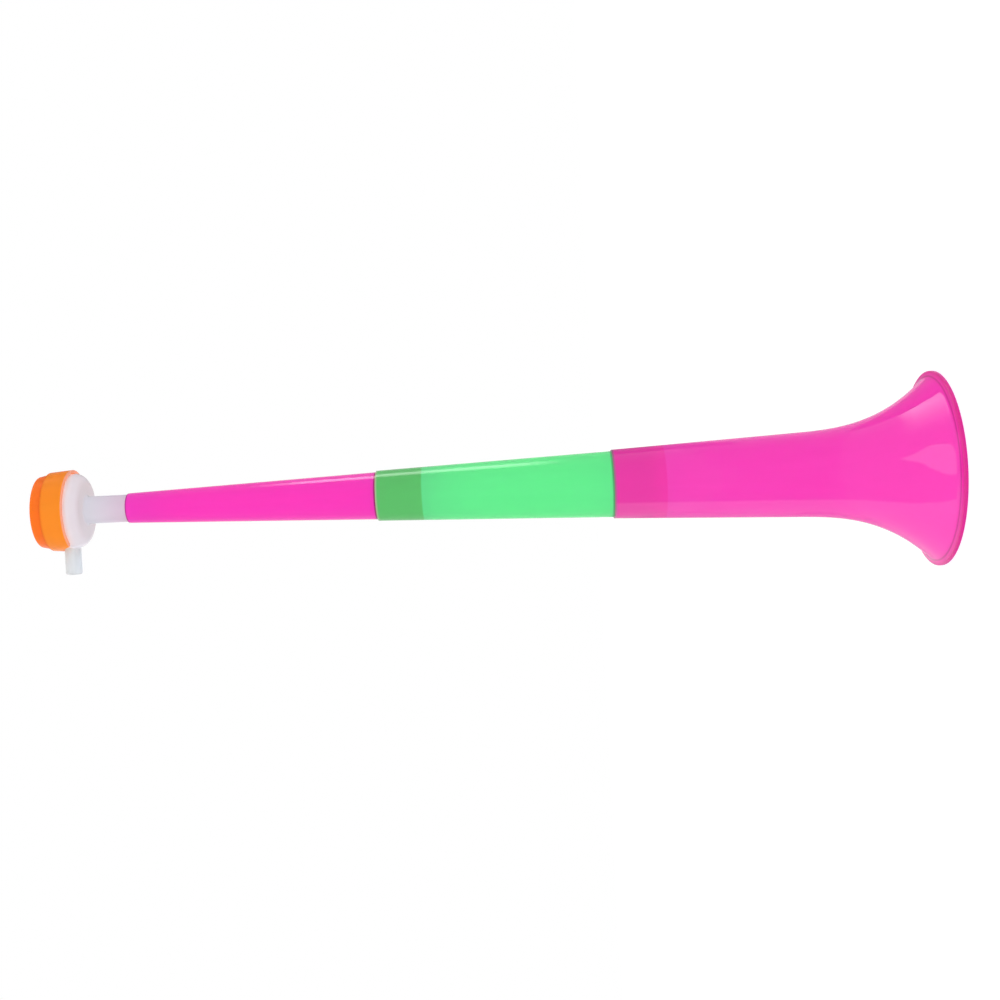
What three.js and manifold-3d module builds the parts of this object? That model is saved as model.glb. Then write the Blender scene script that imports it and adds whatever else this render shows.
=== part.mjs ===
// A three-section telescopic stadium horn with a diaphragm head, moulded in plastic.
// The horn stands on its bell: Z runs up its axis, and zero is the plane of the bell's rim.
// All lengths are in millimetres.

import * as THREE from "three";
import { mergeVertices } from "three/addons/utils/BufferGeometryUtils.js";
import Module from "manifold-3d";

const wasm = await Module();
wasm.setup();

// Smoothness of turned pieces
const sidesAround = 60;
const flareSteps = 11;
const cornerSteps = 5;

// Walls, fits and edges that all three horn sections share
const tubeWall = 0.8;
const tubeClearance = 0.1;
const edgeBevel = 0.3;

// Bell section: a slim cone that opens into a flare, with a turned-out lip that is flat in front
const bellLength = 210.4;
const flareLength = 90;
const flareStartRadius = 27.5;
const flarePower = 2.68;
const rimRadius = 63.2;
const lipWidth = 4.75;
const lipRootHeight = 3.5;
const lipThickness = 3;
const lipEdgeRadius = 0.9;
const lipFaceWidth = 3;

// Middle section: its wide end wedges in the bell section's mouth
const middleLength = 177.8;
const middleSeatDepth = 25;
const middleShoulderRadius = 21.5;

// Lead section: its wide end wedges in the middle section's mouth
const leadLength = 191.8;
const leadSeatDepth = 29.9;
const leadShoulderRadius = 15.4;

// Neck of the head, a plug that pushes into the lead section's narrow end
const neckRadius = 8.85;
const neckWall = 1.2;
const neckSeatDepth = 18;
const neckExposedLength = 27.2;
const neckFillet = 1.8;

// Drum of the head, an annular air chamber round the inner end of the neck
const drumRadius = 24.05;
const drumWall = 1.4;
const drumCornerRadius = 7;
const drumStepHeight = 22;
const noseHeight = 5.5;
const noseFrontRadius = 21.65;
const noseBackRadius = 23.05;

// Blow tube, which stands out of the drum's side
const blowTubeHeight = 10.7;
const blowTubeRadius = 5.2;
const blowTubeWall = 1.6;
const blowTubeReach = 41.3;
const blowTubeBevel = 1.2;

// Diaphragm, a disc of film that lies on the drum's front edge and on the neck's inner end
const filmThickness = 0.3;
const filmSeatGap = 0.1;

// Cap, which presses over the drum and clamps the diaphragm by its border
const capWall = 1.3;
const capClearance = 0.15;
const capCornerRadius = 1.1;
const capOpeningRadius = 15;
const capSkirtLength = 14.4;
const capSkirtFlare = 1.1;
const capSkirtInnerFlare = 0.3;
const capSlotClearance = 0.4;

// How far a cutting body runs past the surface that it cuts
const cutOverrun = 2;

// Radii that follow from the fits, from the narrow end of the horn to its wide end
const leadMouthRadius = neckRadius + tubeClearance + tubeWall;
const middleMouthRadius = leadShoulderRadius + tubeClearance + tubeWall;
const bellMouthRadius = middleShoulderRadius + tubeClearance + tubeWall;

// Taper of each outer section, as radius gained per length, which the piece inside it follows
const middleTaper = (middleShoulderRadius - middleMouthRadius) / (middleLength - middleSeatDepth);
const bellTaper = (flareStartRadius - bellMouthRadius) / (bellLength - flareLength);

// Heights of the pieces above the plane of the rim
const middleBase = bellLength - middleSeatDepth;
const leadBase = middleBase + middleLength - leadSeatDepth;
const drumBase = leadBase + leadLength + neckExposedLength;

// Heights inside the head, above the drum's back face
const noseTop = drumStepHeight + noseHeight;
const filmBase = noseTop + filmSeatGap;
const capFaceUnderside = filmBase + filmThickness + filmSeatGap;
const capTop = capFaceUnderside + capWall;
const capStepHeight = drumStepHeight + filmSeatGap;
const capSkirtBase = capStepHeight - capSkirtLength;

function point(radius, height) {
  return new THREE.Vector2(radius, height);
}

// Points of an arc about a centre, from one angle in degrees to another
function arc(centreRadius, centreHeight, radius, fromAngle, toAngle) {
  const points = [];
  for (let step = 0; step <= cornerSteps; step += 1) {
    const angle = THREE.MathUtils.degToRad(fromAngle + ((toAngle - fromAngle) * step) / cornerSteps);
    points.push(point(centreRadius + radius * Math.cos(angle), centreHeight + radius * Math.sin(angle)));
  }
  return points;
}

// A solid turned about Z from an outline that runs up its outside and down its inside
function turned(outline) {
  const closed = [...outline, outline[0].clone()];
  const geometry = new THREE.LatheGeometry(closed, sidesAround);
  geometry.rotateX(Math.PI / 2);
  return geometry;
}

// A geometry as a solid that can be joined and cut
function toSolid(geometry) {
  const bare = geometry.clone();
  bare.deleteAttribute("normal");
  bare.deleteAttribute("uv");
  const merged = mergeVertices(bare);
  const vertProperties = new Float32Array(merged.attributes.position.array);
  const triVerts = new Uint32Array(merged.index.array);
  return new wasm.Manifold(new wasm.Mesh({ numProp: 3, vertProperties, triVerts }));
}

function toGeometry(solid) {
  const mesh = solid.getMesh();
  const geometry = new THREE.BufferGeometry();
  geometry.setAttribute("position", new THREE.BufferAttribute(mesh.vertProperties, 3));
  geometry.setIndex(new THREE.BufferAttribute(mesh.triVerts, 1));
  geometry.computeVertexNormals();
  return geometry;
}

// The flare's outer surface at a share of its length, with the slope of its radius there
function flareAt(share) {
  const depth = flareLength - lipRootHeight;
  const endRadius = rimRadius - lipWidth;
  const spread = endRadius - flareStartRadius - bellTaper * depth;
  const radius = flareStartRadius + bellTaper * depth * share + spread * share ** flarePower;
  const slope = bellTaper + (flarePower * spread * share ** (flarePower - 1)) / depth;
  return { radius, height: flareLength - depth * share, slope };
}

function bellSection() {
  const lipEdgeCentre = rimRadius - lipEdgeRadius;
  const outer = [];
  const inner = [];
  for (let step = 0; step <= flareSteps; step += 1) {
    const place = flareAt(step / flareSteps);
    const inward = tubeWall / Math.hypot(1, place.slope);
    outer.unshift(point(place.radius, place.height));
    inner.push(point(place.radius - inward, place.height - inward * place.slope));
  }
  return turned([
    point(lipEdgeCentre - lipFaceWidth, 0),
    ...arc(lipEdgeCentre, lipEdgeRadius, lipEdgeRadius, -90, 0),
    ...arc(lipEdgeCentre, lipThickness - lipEdgeRadius, lipEdgeRadius, 0, 90),
    ...outer,
    point(bellMouthRadius + bellTaper * edgeBevel, bellLength - edgeBevel),
    point(bellMouthRadius - edgeBevel, bellLength),
    point(bellMouthRadius - tubeWall, bellLength),
    ...inner,
  ]);
}

// A horn section whose wide end has a seat that runs along the bore of the section round it
function taperedSection(length, mouthRadius, shoulderRadius, seatDepth, seatTaper) {
  const bodyTaper = (shoulderRadius - mouthRadius) / (length - seatDepth);
  const wideRadius = shoulderRadius + seatTaper * seatDepth;
  return turned([
    point(wideRadius - tubeWall, 0),
    point(wideRadius - edgeBevel, 0),
    point(wideRadius - seatTaper * edgeBevel, edgeBevel),
    point(shoulderRadius, seatDepth),
    point(mouthRadius + bodyTaper * edgeBevel, length - edgeBevel),
    point(mouthRadius - edgeBevel, length),
    point(mouthRadius - tubeWall, length),
    point(shoulderRadius - tubeWall, seatDepth),
  ]);
}

// The head's one moulding: neck, drum and blow tube, with its zero at the drum's back face
function headBody() {
  const neckEnd = -neckExposedLength - neckSeatDepth;
  const boreRadius = neckRadius - neckWall;
  const cornerCentre = drumRadius - drumCornerRadius;
  const drum = toSolid(turned([
    point(boreRadius, neckEnd),
    point(neckRadius - edgeBevel, neckEnd),
    point(neckRadius, neckEnd + edgeBevel),
    ...arc(neckRadius + neckFillet, -neckFillet, neckFillet, 180, 90),
    ...arc(cornerCentre, drumCornerRadius, drumCornerRadius, -90, 0),
    point(drumRadius, drumStepHeight),
    point(noseBackRadius, drumStepHeight),
    point(noseFrontRadius, noseTop),
    point(noseFrontRadius - drumWall, noseTop),
    point(noseBackRadius - drumWall, drumStepHeight - drumWall),
    point(drumRadius - drumWall, drumStepHeight - drumWall),
    ...arc(cornerCentre, drumCornerRadius, drumCornerRadius - drumWall, 0, -90),
    point(neckRadius, drumWall),
    point(neckRadius, noseTop),
    point(boreRadius, noseTop),
  ]));
  const rootInside = drumRadius - drumWall;
  const rootOutside = Math.sqrt(drumRadius ** 2 - blowTubeRadius ** 2);
  const tubeRoot = (rootInside + rootOutside) / 2;
  const tube = new THREE.LatheGeometry([
    point(0, tubeRoot),
    point(blowTubeRadius, tubeRoot),
    point(blowTubeRadius, blowTubeReach - blowTubeBevel),
    point(blowTubeRadius - blowTubeBevel, blowTubeReach),
    point(0, blowTubeReach),
  ], sidesAround / 2);
  const boreStart = rootInside - blowTubeRadius;
  const boreEnd = blowTubeReach + cutOverrun;
  const boreTool = blowTubeRadius - blowTubeWall;
  const bore = new THREE.CylinderGeometry(boreTool, boreTool, boreEnd - boreStart, sidesAround / 2);
  bore.translate(0, (boreStart + boreEnd) / 2, 0);
  for (const geometry of [tube, bore]) {
    geometry.rotateZ(Math.PI / 2);
    geometry.translate(0, 0, blowTubeHeight);
  }
  return toGeometry(drum.add(toSolid(tube)).subtract(toSolid(bore)));
}

function diaphragm() {
  const filmRadius = noseFrontRadius - capClearance;
  const film = new THREE.CylinderGeometry(filmRadius, filmRadius, filmThickness, sidesAround);
  film.rotateX(Math.PI / 2);
  film.translate(0, 0, filmThickness / 2);
  return film;
}

// The cap, with its front face up and a slot in its skirt that rides down over the blow tube
function cap() {
  const bandInnerFront = noseFrontRadius + capClearance;
  const bandInnerBack = noseBackRadius + capClearance;
  const skirtInnerFront = drumRadius + capClearance;
  const bandFront = bandInnerFront + capWall;
  const bandBack = bandInnerBack + capWall;
  const skirtFront = skirtInnerFront + capWall;
  const shell = toSolid(turned([
    point(skirtInnerFront + capSkirtInnerFlare, capSkirtBase),
    point(skirtFront + capSkirtFlare - edgeBevel, capSkirtBase),
    point(skirtFront + capSkirtFlare, capSkirtBase + edgeBevel),
    point(skirtFront, capStepHeight - edgeBevel),
    point(skirtFront - edgeBevel, capStepHeight),
    point(bandBack, capStepHeight),
    ...arc(bandFront - capCornerRadius, capTop - capCornerRadius, capCornerRadius, 0, 90),
    point(capOpeningRadius + edgeBevel, capTop),
    point(capOpeningRadius, capTop - edgeBevel),
    point(capOpeningRadius, capFaceUnderside),
    point(bandInnerFront, capFaceUnderside),
    point(bandInnerBack, capStepHeight),
    point(skirtInnerFront, capStepHeight),
  ]));
  const slotRadius = blowTubeRadius + capSlotClearance;
  const slotStart = skirtInnerFront - slotRadius;
  const slotEnd = skirtFront + capSkirtFlare + cutOverrun;
  const slotDepth = slotEnd - slotStart;
  const slotDrop = blowTubeHeight - capSkirtBase + cutOverrun;
  const slotMiddle = -(slotStart + slotEnd) / 2;
  const roundEnd = new THREE.CylinderGeometry(slotRadius, slotRadius, slotDepth, sidesAround / 2);
  roundEnd.rotateZ(Math.PI / 2);
  roundEnd.translate(slotMiddle, 0, blowTubeHeight);
  const openSide = new THREE.BoxGeometry(slotDepth, slotRadius * 2, slotDrop);
  openSide.translate(slotMiddle, 0, blowTubeHeight - slotDrop / 2);
  return toGeometry(shell.subtract(toSolid(roundEnd)).subtract(toSolid(openSide)));
}

function plastic(colour, roughness) {
  return new THREE.MeshStandardMaterial({ color: colour, roughness, metalness: 0 });
}

function place(parent, name, geometry, material, height) {
  const mesh = new THREE.Mesh(geometry, material);
  mesh.name = name;
  mesh.position.z = height;
  parent.add(mesh);
}

const horn = new THREE.Group();
const head = new THREE.Group();
head.position.z = drumBase;
horn.add(head);

const middleTube = taperedSection(
  middleLength, middleMouthRadius, middleShoulderRadius, middleSeatDepth, bellTaper);
const leadTube = taperedSection(
  leadLength, leadMouthRadius, leadShoulderRadius, leadSeatDepth, middleTaper);

place(horn, "bell_section", bellSection(), plastic(0xff48b8, 0.22), 0);
place(horn, "middle_section", middleTube, plastic(0x62eb8c, 0.24), middleBase);
place(horn, "lead_section", leadTube, plastic(0xf737b4, 0.22), leadBase);
place(head, "head_body", headBody(), plastic(0xe0d8e2, 0.3), 0);
place(head, "diaphragm", diaphragm(), plastic(0xeeeeea, 0.35), filmBase);
place(head, "cap", cap(), plastic(0xff8a34, 0.28), 0);

export default horn;
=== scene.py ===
import math

import bpy
from mathutils import Matrix, Vector


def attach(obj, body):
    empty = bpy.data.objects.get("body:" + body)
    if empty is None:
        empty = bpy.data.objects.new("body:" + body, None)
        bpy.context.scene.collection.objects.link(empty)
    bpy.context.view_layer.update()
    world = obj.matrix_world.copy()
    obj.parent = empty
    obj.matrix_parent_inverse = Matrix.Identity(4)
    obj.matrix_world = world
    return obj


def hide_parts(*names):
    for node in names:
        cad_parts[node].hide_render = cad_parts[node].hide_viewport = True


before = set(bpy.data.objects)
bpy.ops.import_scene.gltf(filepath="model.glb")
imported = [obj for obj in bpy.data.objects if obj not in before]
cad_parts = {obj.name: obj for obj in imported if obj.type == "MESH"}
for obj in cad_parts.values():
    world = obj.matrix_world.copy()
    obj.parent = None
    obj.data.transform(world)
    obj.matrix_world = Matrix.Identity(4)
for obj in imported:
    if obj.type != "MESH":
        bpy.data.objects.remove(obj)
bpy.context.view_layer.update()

# Camera: the photograph looks square on to a place just above the middle of the horn, which
# lies across the picture with its bell to the right and its blow tube down. The horn stands
# upright here, so the camera is rolled on its side. The axis rises slightly towards the bell.
mm = 0.001
focal_pixels = 1306
image_pixels = 1000
image_centre = 500
square_column = 521
square_row = 450
aim_row = 480
axis_row_at_centre = 489.7
axis_slope = math.radians(2.85)
pixel_at_horn = 0.65 * mm
axis_height_at_centre = 283.5 * mm
nearest_seen = 10 * mm
farthest_seen = 30

towards_bell = Vector((0, 0, -1))
off_blow_tube = Vector((1, 0, 0))
picture_right = towards_bell * math.cos(axis_slope) - off_blow_tube * math.sin(axis_slope)
picture_up = towards_bell * math.sin(axis_slope) + off_blow_tube * math.cos(axis_slope)
picture_back = picture_right.cross(picture_up)


def in_picture(column, row):
    """The point in the upright plane of the horn's axis that shows at a pixel."""
    right = (column - image_centre) * pixel_at_horn
    up = (axis_row_at_centre - row) * pixel_at_horn
    return Vector((0, 0, axis_height_at_centre)) + picture_right * right + picture_up * up


camera_distance = focal_pixels * pixel_at_horn
camera_place = in_picture(square_column, square_row) + picture_back * camera_distance
aim_back = (camera_place - in_picture(square_column, aim_row)).normalized()
aim_right = picture_up.cross(aim_back).normalized()
aim_up = aim_back.cross(aim_right)

bpy.ops.object.camera_add()
camera = bpy.context.object
camera.data.sensor_width = 36
camera.data.lens = camera.data.sensor_width * focal_pixels / image_pixels
camera.data.shift_x = (image_centre - square_column) / image_pixels
camera.data.shift_y = (aim_row - image_centre) / image_pixels
camera.data.clip_start = nearest_seen
camera.data.clip_end = farthest_seen
axes = Matrix((aim_right, aim_up, aim_back)).transposed()
camera.matrix_world = Matrix.Translation(camera_place) @ axes.to_4x4()
bpy.context.scene.camera = camera
bpy.context.scene.view_settings.view_transform = "Standard"


# Studio: a white floor in a tent of five panels, which light the horn evenly. Softboxes, each
# linked to some of the pieces, and a grey card show in its gloss alone. They draw the streaks
# along its top and on its head, the pale band under the bell and the light on the flare.
class Socket:
    """A node's output, wrapped so that an expression on it adds Math nodes."""

    def __init__(self, shade, socket):
        self.shade = shade
        self.socket = socket

    def math(self, operation, *values):
        return self.shade.node("Math", {"operation": operation}, dict(enumerate(values)))

    def __add__(self, other):
        return self.math("ADD", self, other)

    def __radd__(self, other):
        return self.math("ADD", other, self)

    def __sub__(self, other):
        return self.math("SUBTRACT", self, other)

    def __rsub__(self, other):
        return self.math("SUBTRACT", other, self)

    def __mul__(self, other):
        return self.math("MULTIPLY", self, other)

    def __rmul__(self, other):
        return self.math("MULTIPLY", other, self)

    def __pow__(self, other):
        return self.math("POWER", self, other)

    def __abs__(self):
        return self.math("ABSOLUTE", self)

    def between(self, low, high):
        """0 below low, 1 above high, and a smooth rise from one to the other."""
        limits = {"Value": self, "From Min": low, "From Max": high}
        return self.shade.node("MapRange", {"interpolation_type": "SMOOTHSTEP"}, limits)

    def near(self, middle, full, reach):
        """1 up to one distance from a middle and 0 beyond another one, all in millimetres."""
        return 1 - abs(self - middle * mm).between(full * mm, reach * mm)


class Shade:
    """The nodes of a new material, or of the world or a lamp whose tree is given."""

    def __init__(self, name, tree=None):
        if tree is None:
            self.material = bpy.data.materials.new(name)
            self.material.use_nodes = True
            tree = self.material.node_tree
        self.tree = tree
        self.tree.nodes.clear()

    def node(self, kind, settings=None, inputs=None, output=0):
        """Adds a node. Its inputs are values or Sockets, and one of its outputs comes back."""
        made = self.tree.nodes.new("ShaderNode" + kind)
        for key, value in (settings or {}).items():
            setattr(made, key, value)
        for key, value in (inputs or {}).items():
            if isinstance(value, Socket):
                self.tree.links.new(value.socket, made.inputs[key])
            else:
                made.inputs[key].default_value = value
        return Socket(self, made.outputs[output]) if made.outputs else None

    def mix(self, factor, first, second):
        """A colour between two colours."""
        return self.node("Mix", {"data_type": "RGBA"}, {0: factor, 6: first, 7: second}, output=2)

    def along(self, axis):
        """How far a point of the piece lies along an axis, in metres."""
        place = self.node("TexCoord", output="Object")
        return self.node("SeparateXYZ", inputs={"Vector": place}, output=axis)


white = (1, 1, 1, 1)
world = bpy.data.worlds.new("room")
world.use_nodes = True
bpy.context.scene.world = world
room = Shade("room", world.node_tree)
not_lighting = 1 - room.node("LightPath", output="Is Diffuse Ray")
sky = room.node("Background", inputs={"Color": white, "Strength": not_lighting})
room.node("OutputWorld", inputs={"Surface": sky})
world.cycles.sampling_method = "NONE"

floor_drop = 0.05 * mm
floor_width = 7.6
floor_paint = (0.8, 0.8, 0.8, 1)
floor_glow = 1.25
floor_glow_share = 0.65
bpy.ops.mesh.primitive_plane_add(size=floor_width, location=(0, 0, -floor_drop))
floor = bpy.context.object
floor.name = "floor"
ground = Shade("floor_white")
lit = ground.node("BsdfDiffuse", inputs={"Color": floor_paint})
glow = ground.node("Emission", inputs={"Color": white, "Strength": floor_glow})
share_seen = ground.node("LightPath", output="Is Camera Ray") * floor_glow_share
both = ground.node("MixShader", inputs={0: share_seen, 1: lit, 2: glow})
ground.node("OutputMaterial", inputs={"Surface": both})
floor.data.materials.append(ground.material)


def turned_to(facing, upwards):
    """The turn of a lamp or card that faces one way, with its upper edge towards another."""
    back = -Vector(facing).normalized()
    side = Vector(upwards).cross(back).normalized()
    return Matrix((side, back.cross(side), back)).transposed().to_quaternion()


def panel(name, place, facing, upwards, size, radiance):
    """A flat lamp of an even brightness."""
    bpy.ops.object.light_add(type="AREA", location=place)
    lamp = bpy.context.object
    lamp.name = name
    lamp.data.shape = "RECTANGLE"
    lamp.data.size = size[0]
    lamp.data.size_y = size[1]
    lamp.data.energy = radiance * math.pi * size[0] * size[1]
    lamp.visible_camera = False
    lamp.rotation_mode = "QUATERNION"
    lamp.rotation_quaternion = turned_to(facing, upwards)
    return lamp


tent_half = 4
tent_size = (2 * tent_half, 2 * tent_half)
tent_sides = {
    "tent_right": ((1, 0, 0), 0.72),
    "tent_left": ((-1, 0, 0), 0.85),
    "tent_front": ((0, -1, 0), 1.05),
    "tent_back": ((0, 1, 0), 1.05),
    "tent_top": ((0, 0, 1), 1.0),
}
for name, (way, radiance) in tent_sides.items():
    sideways = (0, 1, 0) if way[2] else (0, 0, 1)
    place = Vector((0, 0, tent_half)) + Vector(way) * tent_half
    lamp = panel(name, place, -Vector(way), sideways, tent_size, radiance)
    lamp.visible_glossy = False
    lamp.data.cycles.use_multiple_importance_sampling = False


bell_light = bpy.data.collections.new("bell_light")
tube_light = bpy.data.collections.new("tube_light")
head_light = bpy.data.collections.new("head_light")
mask_blur = 0.03


def softbox(name, pieces, place, facing, upwards, size, radiance, fade=(0, 0), point=0):
    """A panel that shows in the gloss of some pieces alone, as if flags kept it off the others. It
    may fade towards its sides and its lower edge, and its lower part may be masked to a point."""
    lamp = panel(name, place, facing, upwards, size, radiance)
    lamp.visible_diffuse = False
    lamp.light_linking.receiver_collection = pieces
    lamp.data.use_nodes = True
    cloth = Shade(name, lamp.data.node_tree)
    spot = cloth.node("NewGeometry", output="Parametric")
    off_middle = abs(cloth.node("SeparateXYZ", inputs={"Vector": spot}, output="X") - 0.5)
    raised = cloth.node("SeparateXYZ", inputs={"Vector": spot}, output="Y")
    bright = raised.between(0, fade[1]) ** 2 if fade[1] else 1
    if fade[0]:
        bright = bright * (1 - off_middle.between(0.5 - fade[0], 0.5))
    if point:
        bright = bright * (raised.between(0, point) - off_middle * 2).between(0, mask_blur)
    light = cloth.node("Emission", inputs={"Strength": bright})
    cloth.node("OutputLight", inputs={"Surface": light})


upper_edge = Vector((0, 0.35, 0.937))
upper_inward = Vector((0, -0.937, 0.35))
upper_start = Vector((1.0, 0.46, 0.27))
upper_size = (1.0, 1.4)
softbox(
    "upper_softbox",
    bell_light,
    upper_start + upper_edge * upper_size[0] / 2 + upper_inward * upper_size[1] / 2,
    facing=(-1, 0, 0),
    upwards=-upper_inward,
    size=upper_size,
    radiance=3.0,
    fade=(0.15, 1),
)
softbox(
    "strip_softbox",
    tube_light,
    (0.99, 0.22, 0.48),
    facing=(-1, 0, 0),
    upwards=(0, 1, 0),
    size=(0.46, 0.5),
    radiance=5,
    fade=(0.25, 0.5),
)
softbox(
    "glow_softbox",
    tube_light,
    (0.99, 0.7, 0.48),
    facing=(-1, 0, 0),
    upwards=(0, 1, 0),
    size=(0.46, 0.46),
    radiance=0.9,
    fade=(0.25, 0),
)
lower_edge = Vector((0, -0.169, 0.986))
lower_inward = Vector((0, 0.986, 0.169))
lower_start = Vector((-0.45, -0.198, 0.123))
lower_along = 0.4
lower_size = (2.6, 0.96)
softbox(
    "lower_softbox",
    bell_light,
    lower_start + lower_edge * lower_along + lower_inward * lower_size[1] / 2,
    facing=(1, 0, 0),
    upwards=-lower_inward,
    size=lower_size,
    radiance=1.1,
    fade=(0, 1),
)
softbox(
    "front_softbox",
    bell_light,
    (0.42, -1.0, 1.5),
    facing=(0, 1, 0),
    upwards=(0, 0, 1),
    size=(1.32, 1.9),
    radiance=1.6,
    fade=(0, 0.15),
    point=0.7,
)
softbox(
    "head_softbox",
    head_light,
    (-0.1, -1.0, 0.22),
    facing=(0, 1, 0),
    upwards=(1, 0, 0),
    size=(0.05, 0.4),
    radiance=25,
)

card_front = Vector((1.05, 0.5, 0.5))
card_back = Vector((0.05, 3.5, 0.5))
card_middle = (card_front + card_back) / 2
card_run = card_back - card_front
card_facing = card_run.cross((0, 0, 1)).normalized()
card_size = (5, card_run.length)
card_grey = 0.35
card_gap = 10 * mm
bpy.ops.mesh.primitive_plane_add(size=1, location=card_middle)
card = bpy.context.object
card.name = "grey_card"
card.scale = (*card_size, 1)
card.rotation_mode = "QUATERNION"
card.rotation_quaternion = turned_to(card_facing, card_run)
card.visible_camera = False
card.visible_diffuse = False
card.visible_transmission = False
card.visible_shadow = False
grey = Shade("card_grey")
matt = grey.node("Emission", inputs={"Color": white, "Strength": card_grey})
grey.node("OutputMaterial", inputs={"Surface": matt})
card.data.materials.append(grey.material)
softbox(
    "card_softbox",
    tube_light,
    card_middle - card_facing * card_gap,
    facing=-card_facing,
    upwards=card_run,
    size=card_size,
    radiance=0.4,
)


# Bell section: the widest tube, one thin-walled injection moulding in hot pink polypropylene.
# A slim cone opens into a flare, and the wall ends in a solid lip that is turned out flat.
# The next section wedges in its narrow mouth. Sizes are in millimetres, heights from the rim.
def arc(centre_radius, centre_height, radius, start, end, steps=8):
    """Points of an arc on an outline, between two angles in degrees."""
    points = []
    for step in range(steps + 1):
        angle = math.radians(start + (end - start) * step / steps)
        points.append((centre_radius + radius * math.cos(angle), centre_height + radius * math.sin(angle)))
    return points


weld = 0.01 * mm
smooth_to = math.radians(40)


def turned(name, outline, turns=192):
    """A piece turned about the horn's axis from an outline of radii and heights."""
    bpy.ops.object.select_all(action="DESELECT")
    radius, height = outline[0]
    bpy.ops.mesh.primitive_plane_add(size=mm, location=(radius * mm, 0, height * mm))
    piece = bpy.context.object
    piece.name = name
    bpy.ops.object.mode_set(mode="EDIT")
    bpy.ops.mesh.select_mode(type="VERT")
    bpy.ops.mesh.merge(type="CENTER")
    for start, end in zip(outline, outline[1:] + outline[:1]):
        step = ((end[0] - start[0]) * mm, 0, (end[1] - start[1]) * mm)
        bpy.ops.mesh.extrude_region_move(TRANSFORM_OT_translate={"value": step})
    bpy.ops.mesh.select_all(action="SELECT")
    bpy.ops.mesh.remove_doubles(threshold=weld)
    bpy.ops.mesh.spin(steps=turns, angle=math.tau, center=(0, 0, 0), axis=(0, 0, 1))
    bpy.ops.mesh.select_all(action="SELECT")
    bpy.ops.mesh.remove_doubles(threshold=weld)
    bpy.ops.mesh.delete_loose(use_verts=True, use_edges=True)
    bpy.ops.mesh.select_all(action="SELECT")
    bpy.ops.mesh.normals_make_consistent(inside=False)
    bpy.ops.object.mode_set(mode="OBJECT")
    bpy.ops.object.transform_apply(location=True, rotation=True, scale=True)
    bpy.ops.object.shade_smooth_by_angle(angle=smooth_to)
    return piece


def plastic(
    name,
    colour,
    deep_colour,
    roughness,
    passed,
    through,
    edge=None,
    edge_reach=1.2,
    edge_colour=None,
    tint=None,
    gloss=0.5,
):
    """Moulded polypropylene, drawn in streaks and slightly wavy. Its edge's other tone is wear with a
    painted highlight and shade. It lets a share of the light through, and its shadow is a tinted one."""
    shade = Shade(name)
    place = shade.node("TexCoord", output="Object")
    drawn = shade.node("Mapping", inputs={"Vector": place, "Scale": (260, 260, 9)})
    rings = shade.node("Mapping", inputs={"Vector": place, "Scale": (30, 30, 130)})
    streaks = shade.node("TexNoise", inputs={"Vector": drawn, "Scale": 1.0, "Detail": 3.0})
    ripples = shade.node("TexNoise", inputs={"Vector": rings, "Scale": 1.0, "Detail": 1.0})
    clouds = shade.node("TexNoise", inputs={"Vector": place, "Scale": 22.0, "Detail": 2.0})
    grain = shade.node("TexNoise", inputs={"Vector": place, "Scale": 2600.0, "Detail": 2.0})
    smears = shade.node("TexNoise", inputs={"Vector": place, "Scale": 60.0, "Detail": 4.0})
    depth = streaks * 0.45 + clouds * 0.55
    body = shade.mix(depth.between(0.35, 0.7) * 0.35, colour, deep_colour)
    if tint is not None:
        body = tint(shade, body)
    # The edge colour is wear together with a painted edge highlight and shade.
    if edge is not None:
        edge_wear_and_light = shade.along("Z").near(edge, edge_round, edge_reach)
        body = shade.mix(edge_wear_and_light * (0.55 + smears * 0.4), body, edge_colour)
    fine = shade.node(
        "Bump",
        inputs={"Strength": 0.25, "Distance": 0.02 * mm, "Height": grain * 0.5 + streaks * 1.5},
    )
    waves = shade.node(
        "Bump",
        inputs={"Strength": 1.0, "Distance": 0.12 * mm, "Height": ripples, "Normal": fine},
    )
    surface = shade.node(
        "BsdfPrincipled",
        inputs={
            "Base Color": body,
            "Roughness": roughness + smears.between(0.45, 0.75) * 0.03 + streaks * 0.02,
            "Normal": waves,
            "IOR": 1.49,
            "Specular IOR Level": gloss,
        },
    )
    behind = shade.node("BsdfTranslucent", inputs={"Color": colour})
    wall_shade = shade.node("MixShader", inputs={0: through, 1: surface, 2: behind})
    clear = shade.node("BsdfTransparent", inputs={"Color": passed})
    to_lamp = shade.node("LightPath", output="Is Shadow Ray")
    whole = shade.node("MixShader", inputs={0: to_lamp, 1: wall_shade, 2: clear})
    shade.node("OutputMaterial", inputs={"Surface": whole})
    return shade.material


def srgb(red, green, blue):
    """A colour from the three numbers that a picture would show it with."""
    def linear(byte):
        share = byte / 255
        return share / 12.92 if share <= 0.04045 else ((share + 0.055) / 1.055) ** 2.4

    return (linear(red), linear(green), linear(blue), 1)


wall = 0.8
fit = 0.1
edge_round = 0.3
bell_length = 210.4
flare_length = 90
flare_start_radius = 27.5
flare_power = 2.78
rim_radius = 63.2
lip_width = 3.7
lip_root_height = 3.5
lip_thickness = 3
lip_edge = 0.9
lip_inner_edge = 0.4
lip_face_width = 3
middle_shoulder_radius = 21.5
bell_mouth_radius = middle_shoulder_radius + fit + wall
bell_seat = 33.3
bell_taper = (flare_start_radius - bell_mouth_radius) / (bell_length - flare_length)


def flare_at(share):
    """Radius, height and slope of the flare's outer surface at a share of its length."""
    depth = flare_length - lip_root_height
    spread = rim_radius - lip_width - flare_start_radius - bell_taper * depth
    radius = flare_start_radius + bell_taper * depth * share + spread * share**flare_power
    slope = bell_taper + flare_power * spread * share ** (flare_power - 1) / depth
    return radius, flare_length - depth * share, slope


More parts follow.
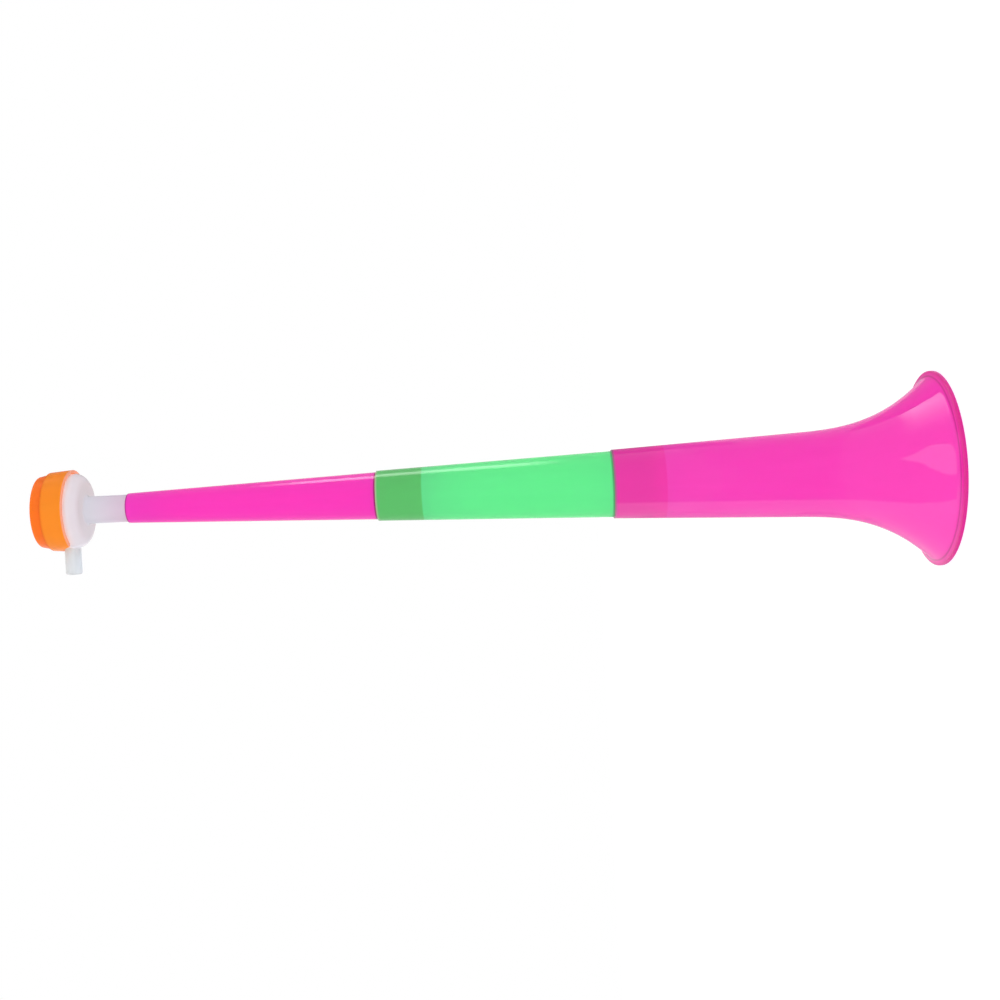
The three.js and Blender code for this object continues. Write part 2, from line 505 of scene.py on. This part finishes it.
def mouth_edge(radius, height, nose=edge_round):
    """The rounded end of a tube's narrow mouth, from its outside to its inside. The outside may
    draw in over a longer nose."""
    inner_round = wall - edge_round
    outer = arc(radius - edge_round, height - edge_round, edge_round, 0, 90, 6)
    drawn = [(x, height - (height - z) * nose / edge_round) for x, z in outer]
    return drawn + arc(radius - edge_round, height - inner_round, inner_round, 90, 180, 6)


flare_steps = 44
outside = []
inside = []
for step in range(flare_steps + 1):
    radius, height, slope = flare_at(step / flare_steps)
    inward = wall / math.hypot(1, slope)
    outside.insert(0, (radius, height))
    inside.append((radius - inward, height - inward * slope))
lip_centre = rim_radius - lip_edge
face_start = lip_centre - lip_face_width
bell_outline = (
    arc(face_start + lip_inner_edge, lip_inner_edge, lip_inner_edge, 180, 270, 5)
    + arc(lip_centre, lip_edge, lip_edge, -90, 0, 6)
    + arc(lip_centre, lip_thickness - lip_edge, lip_edge, 0, 90, 6)
    + outside
    + mouth_edge(bell_mouth_radius, bell_length)
    + inside
)
bell = turned("bell_shell", bell_outline, turns=256)

# Painted shade: the seat and crease pinks, and partly the lip pink, whose solid lip is also deeper. The
# worn pink is edge wear with painted shade.
bell_pink = srgb(252, 65, 198)
bell_deep_pink = srgb(248, 56, 190)
bell_edge_wear_and_shade = srgb(146, 122, 134)
bell_seat_shade_pink = srgb(250, 49, 181)
lip_pink = srgb(228, 44, 150)
crease_shade_pink = srgb(165, 36, 108)
lip_pink_to = lip_thickness - 0.4
lip_pink_gone = lip_thickness + 0.6
crease_height = lip_thickness + 0.3
crease_radius = rim_radius - lip_width
crease_shade_share = 0.6
seat_blur = 0.5


def painted_seat_shade(shade, body, start, colour):
    """Painted shade on the seat at a tube's mouth, which the next tube's end presses on, so less light
    comes through.
    """
    seat_shade = shade.along("Z").between((start - seat_blur) * mm, (start + seat_blur) * mm)
    return shade.mix(seat_shade, body, colour)


def bell_tint(shade, body):
    """The lip is solid, so its pink is deeper, and painted shade deepens it too, as on the seat at the
    bell section's mouth. The painted shade is deepest in the crease between the lip and the flare."""
    height = shade.along("Z")
    lip = 1 - height.between(lip_pink_to * mm, lip_pink_gone * mm)
    lipped = shade.mix(lip, body, lip_pink)
    radius = (shade.along("X") ** 2 + shade.along("Y") ** 2) ** 0.5
    crease = height.near(crease_height, 0.1, 0.9) * radius.near(crease_radius, 0.2, 1.2)
    crease_shaded = shade.mix(crease * crease_shade_share, lipped, crease_shade_pink)
    return painted_seat_shade(shade, crease_shaded, bell_length - bell_seat, bell_seat_shade_pink)


bell_plastic = plastic(
    "bell_plastic",
    bell_pink,
    bell_deep_pink,
    roughness=0.03,
    passed=(0.73, 0.3, 0.9, 1),
    through=0.2,
    edge=bell_length,
    edge_reach=1.9,
    edge_colour=bell_edge_wear_and_shade,
    tint=bell_tint,
)
bell.data.materials.append(bell_plastic)
bell_light.objects.link(bell)
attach(bell, "bell")
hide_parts("bell_section")

# Middle section: a tapered tube, moulded in thin green polypropylene. Its wide end is wedged in
# the bell section's mouth, and when the horn is pushed together it slides down inside it.
middle_length = 177.8
middle_seat = 25
lead_seat = 29.9
lead_shoulder_radius = 15.4
middle_mouth_radius = lead_shoulder_radius + fit + wall
middle_base = bell_length - middle_seat
middle_top = middle_base + middle_length
middle_taper = (middle_shoulder_radius - middle_mouth_radius) / (middle_length - middle_seat)


def tapered(name, base, length, mouth_radius, shoulder_radius, seat, seat_taper, nose=edge_round):
    """A tapered tube with a seat at its wide end that follows the bore round it."""
    wide_radius = shoulder_radius + seat_taper * seat
    outline = (
        [(wide_radius - wall, base + edge_round), (wide_radius - wall + edge_round, base)]
        + arc(wide_radius - edge_round, base + edge_round, edge_round, -90, 0, 4)
        + [(shoulder_radius, base + seat)]
        + mouth_edge(mouth_radius, base + length, nose)
        + [(shoulder_radius - wall, base + seat)]
    )
    return turned(name, outline)


middle = tapered(
    "middle_shell",
    middle_base,
    middle_length,
    middle_mouth_radius,
    middle_shoulder_radius,
    middle_seat,
    bell_taper,
)

# The seat green is painted shade, the dark line colour is a painted contact shadow at the bell section's
# mouth, and the pale edge colour is wear with a painted highlight.
middle_green = srgb(116, 242, 165)
middle_deep_green = srgb(108, 238, 157)
middle_edge_wear_and_highlight = srgb(226, 214, 190)
middle_seat_shade_green = srgb(106, 216, 120)
middle_mouth_shadow = srgb(96, 128, 104)
mouth_shadow_half = 0.5
mouth_shadow_reach = 1.6
mouth_shadow_share = 0.85


def painted_mouth_shadow(shade, body, mouth, colour):
    """A thin painted shadow on a tube where it comes out of another one's mouth."""
    shadowed = shade.along("Z").near(mouth, mouth_shadow_half, mouth_shadow_reach)
    return shade.mix(shadowed * mouth_shadow_share, body, colour)


def middle_tint(shade, body):
    """Painted shade darkens the green on the seat at the middle section's mouth, and a painted shadow lies
    where it leaves the bell section.
    """
    seated = painted_seat_shade(shade, body, middle_top - lead_seat, middle_seat_shade_green)
    return painted_mouth_shadow(shade, seated, bell_length, middle_mouth_shadow)


middle_plastic = plastic(
    "middle_plastic",
    middle_green,
    middle_deep_green,
    roughness=0.04,
    passed=(0.55, 0.74, 0.7, 1),
    through=0.3,
    edge=middle_top,
    edge_reach=1.7,
    edge_colour=middle_edge_wear_and_highlight,
    tint=middle_tint,
)
middle.data.materials.append(middle_plastic)
tube_light.objects.link(middle)
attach(middle, "middle")
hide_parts("middle_section")

# Lead section: the slimmest tube, moulded in thin magenta polypropylene. Its wide end is wedged
# in the middle section's mouth, and its narrow end draws in and takes the neck of the head.
lead_length = 191.8
neck_radius = 8.85
lead_mouth_radius = neck_radius + fit + wall
lead_nose = 2.4
lead_base = middle_top - lead_seat
lead_top = lead_base + lead_length
lead = tapered(
    "lead_shell",
    lead_base,
    lead_length,
    lead_mouth_radius,
    lead_shoulder_radius,
    lead_seat,
    middle_taper,
    lead_nose,
)

# The worn magenta is edge wear with painted shade, and the dark line colour is a painted contact shadow at
# the middle section's mouth.
lead_magenta = srgb(253, 48, 209)
lead_deep_magenta = srgb(250, 38, 202)
lead_edge_wear_and_shade = srgb(150, 44, 112)
lead_mouth_shadow = srgb(104, 24, 64)


def lead_tint(shade, body):
    """A painted shadow darkens the magenta where it comes out of the middle section."""
    return painted_mouth_shadow(shade, body, middle_top, lead_mouth_shadow)


lead_plastic = plastic(
    "lead_plastic",
    lead_magenta,
    lead_deep_magenta,
    roughness=0.04,
    passed=(0.68, 0.2, 0.5, 1),
    through=0.2,
    edge=lead_top,
    edge_colour=lead_edge_wear_and_shade,
    tint=lead_tint,
)
lead.data.materials.append(lead_plastic)
tube_light.objects.link(lead)
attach(lead, "lead")
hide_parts("lead_section")

# Head body: one moulding in milky white polypropylene. The neck plugs into the lead section and
# runs on inside the drum as far as the film, with a ring-shaped air chamber round it. The blow
# tube stands out of the drum's side and opens into the chamber.
neck_wall = 1.2
neck_seat = 18
neck_exposed = 27.2
neck_fillet = 1.8
drum_radius = 24.05
drum_wall = 1.4
drum_corner = 7
drum_step = 22
nose_height = 5.5
nose_front = 21.65
nose_back = 23.05
head_base = lead_top + neck_exposed
bore_radius = neck_radius - neck_wall
neck_end = head_base - neck_exposed - neck_seat
nose_top = head_base + drum_step + nose_height
corner_centre = drum_radius - drum_corner
drum_outline = (
    [(bore_radius, neck_end + edge_round)]
    + arc(neck_radius - neck_wall / 2, neck_end + neck_wall / 2, neck_wall / 2, 180, 360, 8)
    + arc(neck_radius + neck_fillet, head_base - neck_fillet, neck_fillet, 180, 90, 8)
    + arc(corner_centre, head_base + drum_corner, drum_corner, -90, 0, 16)
    + arc(drum_radius - edge_round, head_base + drum_step - edge_round, edge_round, 0, 90, 4)
    + [(nose_back, head_base + drum_step)]
    + arc(nose_front - edge_round, nose_top - edge_round, edge_round, 0, 90, 4)
    + arc(nose_front - drum_wall + edge_round, nose_top - edge_round, edge_round, 90, 180, 4)
    + [
        (nose_back - drum_wall, head_base + drum_step - drum_wall),
        (drum_radius - drum_wall, head_base + drum_step - drum_wall),
    ]
    + arc(corner_centre, head_base + drum_corner, drum_corner - drum_wall, 0, -90, 12)
    + arc(neck_radius + neck_wall, head_base + drum_wall + neck_wall, neck_wall, 270, 180, 6)
    + arc(neck_radius - neck_wall / 2, nose_top - neck_wall / 2, neck_wall / 2, 0, 180, 8)
)
head = turned("head_shell", drum_outline)

blow_height = 10.7
blow_radius = 5.2
blow_wall = 1.6
blow_reach = 41.3
blow_tip_round = 1.2
overrun = 2
touch = 0.01
cut_smooth_to = math.radians(35)
root_inside = drum_radius - drum_wall
root_outside = math.sqrt(drum_radius**2 - blow_radius**2)
blow_root = (root_inside + root_outside) / 2


def pick(piece, wanted):
    """Opens a piece in edit mode with the vertices selected whose place passes a test."""
    bpy.ops.object.mode_set(mode="EDIT")
    bpy.ops.mesh.select_mode(type="VERT")
    bpy.ops.mesh.select_all(action="DESELECT")
    bpy.ops.object.mode_set(mode="OBJECT")
    for vertex in piece.data.vertices:
        vertex.select = wanted(piece.matrix_world @ vertex.co)
    bpy.ops.object.mode_set(mode="EDIT")


bpy.ops.object.select_all(action="DESELECT")
tube_length = blow_reach - blow_root
bpy.ops.mesh.primitive_cylinder_add(
    vertices=96,
    radius=blow_radius * mm,
    depth=tube_length * mm,
    location=(-(blow_root + tube_length / 2) * mm, 0, (head_base + blow_height) * mm),
    rotation=(0, math.radians(90), 0),
)
blow_tube = bpy.context.object
pick(blow_tube, lambda place: place.x < -(blow_reach - touch) * mm)
bpy.ops.mesh.bevel(offset=blow_tip_round * mm, segments=6, affect="EDGES")
bpy.ops.object.mode_set(mode="OBJECT")

bpy.ops.object.select_all(action="DESELECT")
bore_start = root_inside - blow_radius
bore_length = blow_reach + overrun - bore_start
bpy.ops.mesh.primitive_cylinder_add(
    vertices=96,
    radius=(blow_radius - blow_wall) * mm,
    depth=bore_length * mm,
    location=(-(bore_start + bore_length / 2) * mm, 0, (head_base + blow_height) * mm),
    rotation=(0, math.radians(90), 0),
)
blow_bore = bpy.context.object


def boolean(piece, other, operation):
    """Joins or cuts a piece with another, which is used up."""
    bpy.ops.object.select_all(action="DESELECT")
    piece.select_set(True)
    bpy.context.view_layer.objects.active = piece
    change = piece.modifiers.new("change", "BOOLEAN")
    change.operation = operation
    change.object = other
    change.solver = "EXACT"
    bpy.ops.object.modifier_apply(modifier=change.name)
    bpy.data.objects.remove(other)


boolean(head, blow_tube, "UNION")
boolean(head, blow_bore, "DIFFERENCE")
bpy.ops.object.shade_smooth_by_angle(angle=cut_smooth_to)

# The cream, the neck grey and the neck pink below are painted light: shade under the cap, shade on the
# neck, and pink light from the lead section.
head_white = srgb(246, 243, 249)
head_deep_white = srgb(241, 237, 245)
head_edge_white = srgb(246, 244, 246)
cap_shade_cream = srgb(240, 230, 222)
blow_grey = srgb(214, 213, 208)
neck_shade_grey = srgb(222, 215, 218)
neck_lead_glow_pink = srgb(214, 176, 189)
covered_from = head_base + 8.5
covered_blur = 3
blow_blur = 1


def head_tint(shade, body):
    """The drum has painted shade, tinted cream, where the cap covers it, the blow tube is greyer, and
    the neck has painted shade and painted pink light from the lead section that it is plugged into."""
    height = shade.along("Z")
    cap_shade = height.between(covered_from * mm, (covered_from + covered_blur) * mm)
    tube = 1 - shade.along("X").between(-(drum_radius + blow_blur) * mm, -blow_root * mm)
    neck = 1 - height.between((head_base - neck_fillet) * mm, (head_base + neck_fillet) * mm)
    lead_glow = 1 - height.between(lead_top * mm, head_base * mm)
    drum = shade.mix(cap_shade, body, cap_shade_cream)
    with_tube = shade.mix(tube, drum, blow_grey)
    with_neck = shade.mix(neck, with_tube, neck_shade_grey)
    return shade.mix(lead_glow * 0.8, with_neck, neck_lead_glow_pink)


head_plastic = plastic(
    "head_plastic",
    head_white,
    head_deep_white,
    roughness=0.05,
    passed=(0.76, 0.88, 0.93, 1),
    through=0.35,
    edge=neck_end,
    edge_colour=head_edge_white,
    tint=head_tint,
)
head.data.materials.append(head_plastic)
head_light.objects.link(head)
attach(head, "head")
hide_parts("head_body")

# Diaphragm: a disc cut from thin milky plastic film. It lies on the front edges of the drum and
# of the neck's inner end, and the cap clamps it.
film_gap = 0.1
film_thickness = 0.3
film_fit = 0.15
film_radius = nose_front - film_fit
film_base = nose_top + film_gap
film_top = film_base + film_thickness
film_outline = [(0, film_base), (film_radius, film_base), (film_radius, film_top), (0, film_top)]
film = turned("diaphragm_film", film_outline)
film_white = srgb(236, 236, 234)
film_deep_white = srgb(226, 226, 224)
film_plastic = plastic(
    "film_plastic",
    film_white,
    film_deep_white,
    roughness=0.3,
    passed=(0.7, 0.7, 0.7, 1),
    through=0.2,
)
film.data.materials.append(film_plastic)
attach(film, "head")
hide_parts("diaphragm")

# Cap: an orange polypropylene moulding in two diameters, pressed over the drum to clamp the
# film. Its front is open so that the film can vibrate, and a scallop in its skirt clears the
# blow tube.
cap_wall = 1.3
cap_fit = 0.15
cap_corner = 1.1
cap_opening = 15
skirt_length = 14.4
skirt_flare = 1.1
skirt_inner_flare = 0.3
scallop_fit = 0.4
scallop_radius = 16
scallop_start_share = 0.5
face_underside = film_top + film_gap
cap_top = face_underside + cap_wall
step_height = head_base + drum_step + film_gap
skirt_base = step_height - skirt_length
band_front = nose_front + cap_fit + cap_wall
band_back = nose_back + cap_fit + cap_wall
skirt_front = drum_radius + cap_fit + cap_wall
skirt_end = skirt_front + skirt_flare
cap_outline = (
    [(skirt_front - cap_wall + skirt_inner_flare, skirt_base + edge_round)]
    + [(skirt_front - cap_wall + skirt_inner_flare + edge_round, skirt_base)]
    + arc(skirt_end - edge_round, skirt_base + edge_round, edge_round, -90, 0, 5)
    + arc(skirt_front - edge_round, step_height - edge_round, edge_round, 0, 90, 5)
    + [(band_back, step_height)]
    + arc(band_front - cap_corner, cap_top - cap_corner, cap_corner, 0, 90, 8)
    + arc(cap_opening + edge_round, cap_top - edge_round, edge_round, 90, 180, 5)
    + [
        (cap_opening, face_underside),
        (band_front - cap_wall, face_underside),
        (band_back - cap_wall, step_height),
        (skirt_front - cap_wall, step_height),
    ]
)
cap = turned("cap_shell", cap_outline)

scallop_start = skirt_front * scallop_start_share
scallop_length = skirt_end + overrun - scallop_start
scallop_height = head_base + blow_height + blow_radius + scallop_fit - scallop_radius
bpy.ops.object.select_all(action="DESELECT")
bpy.ops.mesh.primitive_cylinder_add(
    vertices=256,
    radius=scallop_radius * mm,
    depth=scallop_length * mm,
    location=(-(scallop_start + scallop_length / 2) * mm, 0, scallop_height * mm),
    rotation=(0, math.radians(90), 0),
)
scallop = bpy.context.object
boolean(cap, scallop, "DIFFERENCE")
bpy.ops.object.shade_smooth_by_angle(angle=cut_smooth_to)

# The band and step oranges are painted shade, and the pale edge colour is wear with a painted highlight.
cap_orange = srgb(255, 170, 48)
cap_deep_orange = srgb(255, 162, 41)
cap_edge_wear_and_highlight = srgb(255, 214, 196)
band_shade_orange = srgb(252, 137, 38)
step_shade_orange = srgb(232, 104, 22)
band_blur = 0.3
step_reach = 1.7
step_shade_share = 0.6


def cap_tint(shade, body):
    """The front band has painted shade that deepens its orange, deepest in the corner of the step."""
    height = shade.along("Z")
    band = height.between((step_height - band_blur) * mm, (step_height + band_blur) * mm)
    corner = height.near(step_height, 0, step_reach)
    return shade.mix(corner * step_shade_share, shade.mix(band, body, band_shade_orange), step_shade_orange)


cap_plastic = plastic(
    "cap_plastic",
    cap_orange,
    cap_deep_orange,
    roughness=0.14,
    passed=(0.66, 0.42, 0.2, 1),
    through=0.3,
    edge=skirt_base,
    edge_colour=cap_edge_wear_and_highlight,
    tint=cap_tint,
    gloss=0.25,
)
cap.data.materials.append(cap_plastic)
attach(cap, "cap")
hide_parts("cap")
